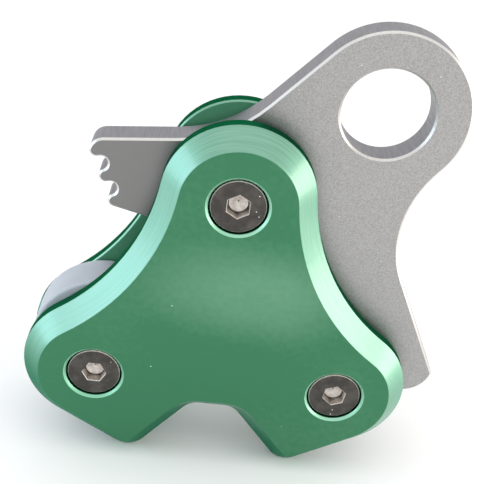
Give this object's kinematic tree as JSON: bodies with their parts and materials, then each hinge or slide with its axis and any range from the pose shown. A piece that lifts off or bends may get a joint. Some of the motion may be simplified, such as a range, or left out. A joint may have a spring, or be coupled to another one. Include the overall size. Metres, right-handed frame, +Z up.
{
  "type": "lever cam rope grab",
  "caption": "Rope grab with thick chamfered side plates on sunk socket screws, a rope shoe, a roller, and a sprung toothed cam lever that its eye pulls shut on the rope and a long arm releases.",
  "frame": {"origin": "middle of the bounding box's base, level with the plates' lowest corners", "axes": "+X toward the release arm, +Y from the front plate with the screw heads to the back plate, +Z up to the connector eye"},
  "size_m": [0.104, 0.0288, 0.1157],
  "materials": {
    "green_plate": "satin green anodised",
    "lever_steel": "fine blasted, bright edges",
    "bronze": "plain bearing bronze",
    "bright_steel": "turned",
    "dark_steel": "dark oxide",
    "white_plastic": "turned white plastic"
  },
  "bodies": {
    "frame": {"front_plate": "green_plate", "back_plate": "green_plate", "pivot_sleeve": "bright_steel", "left_sleeve": "bright_steel", "right_sleeve": "bright_steel", "rope_shoe": "white_plastic", "right_washers": "bright_steel", "front_thrust_washer": "bright_steel", "back_thrust_washer": "bright_steel", "pivot_bolt": "dark_steel", "left_bolt": "dark_steel", "right_bolt": "dark_steel", "pivot_nut": "dark_steel", "left_nut": "dark_steel", "right_nut": "dark_steel", "stop_pin": "bright_steel", "return_spring": "bright_steel"},
    "cam": {"cam_lever": "lever_steel", "lever_bush": "bronze"},
    "wheel": {"right_roller": "white_plastic", "right_roller_bush": "bronze"}
  },
  "joints": [
    {"name": "cam_pivot", "type": "hinge", "parent": "frame", "child": "cam", "pos_m": [-0.00398, 0, 0.07459], "axis": [0, -1, 0], "range_deg": [0, 60], "stiffness_Nm_per_rad": 0.08, "springref_deg": -34.38, "deforming": ["return_spring"]},
    {"name": "roller_spin", "type": "hinge", "parent": "frame", "child": "wheel", "pos_m": [0.02602, 0, 0.02509], "axis": [0, -1, 0], "continuous": true}
  ]
}
